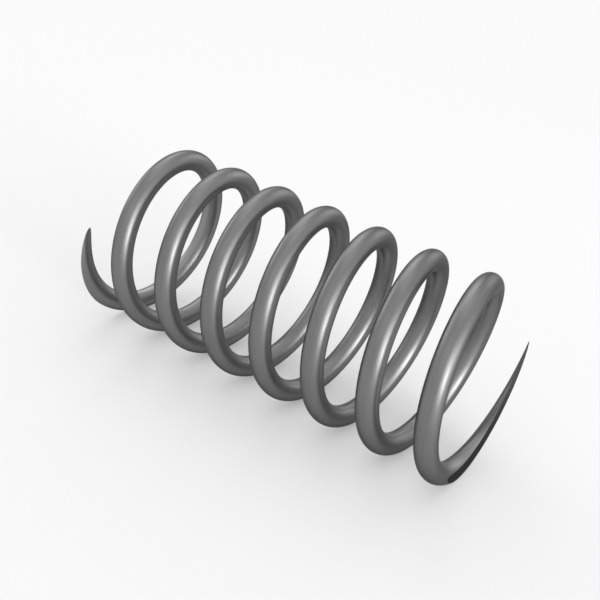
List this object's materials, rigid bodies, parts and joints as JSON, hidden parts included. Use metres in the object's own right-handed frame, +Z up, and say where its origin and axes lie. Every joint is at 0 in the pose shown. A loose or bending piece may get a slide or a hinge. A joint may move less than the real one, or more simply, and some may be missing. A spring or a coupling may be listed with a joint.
{
  "type": "compression spring",
  "caption": "Right-hand coil compression spring of round steel wire at constant pitch, with open ends ground flat; pushes back when squeezed along its axis.",
  "frame": {"origin": "on the table, under the middle of the spring as it lies on its side", "axes": "+X along the coil's axis, +Z up; the middle of the wire's length is straight above the coil's axis"},
  "size_m": [0.0488, 0.023, 0.023],
  "materials": {
    "spring_steel": "drawn spring wire, dull grey, with flat ground ends"
  },
  "bodies": {
    "root": {"compression_spring": "spring_steel"}
  },
  "joints": []
}
